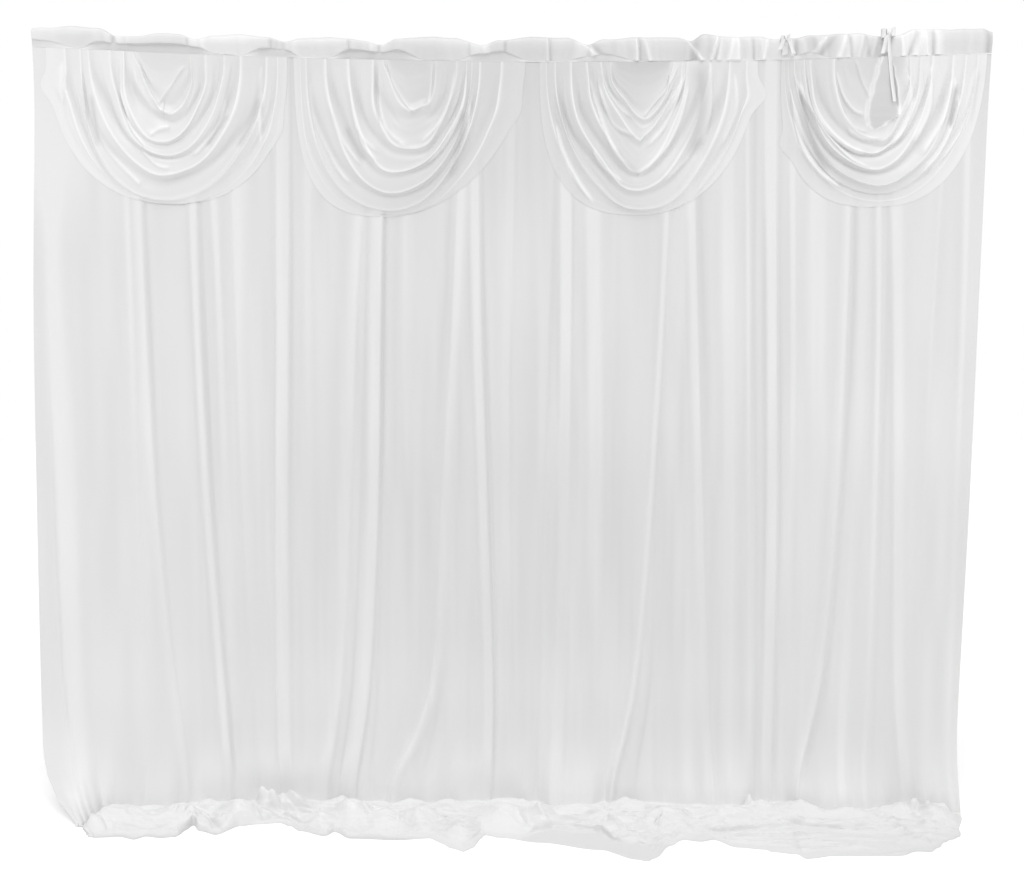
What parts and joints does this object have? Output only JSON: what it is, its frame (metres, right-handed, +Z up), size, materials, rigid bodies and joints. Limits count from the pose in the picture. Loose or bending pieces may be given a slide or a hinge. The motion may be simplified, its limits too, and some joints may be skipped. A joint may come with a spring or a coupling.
{
  "type": "backdrop curtain",
  "caption": "White swagged backdrop curtain: a full-width panel on a pole pocket, satin swags below the pocket, ties round it, and a long hem lying in folds on the floor.",
  "frame": {"origin": "middle of the pole's channel, 2.42 m above the floor on which the hem lies", "axes": "+X along the pocket, to the right as seen from the front; the front faces -Y; +Z up"},
  "size_m": [3.0449, 0.5026, 2.4954],
  "materials": {
    "voile": "white matt woven cloth, closely woven and soft",
    "satin": "white satin, with a soft sheen along the folds"
  },
  "bodies": {
    "root": {"panel": "voile", "pole_pocket": "satin", "swag_1": "satin", "swag_2": "satin", "swag_3": "satin", "swag_4": "satin", "tie_1": "satin", "tie_2": "satin"}
  },
  "joints": []
}
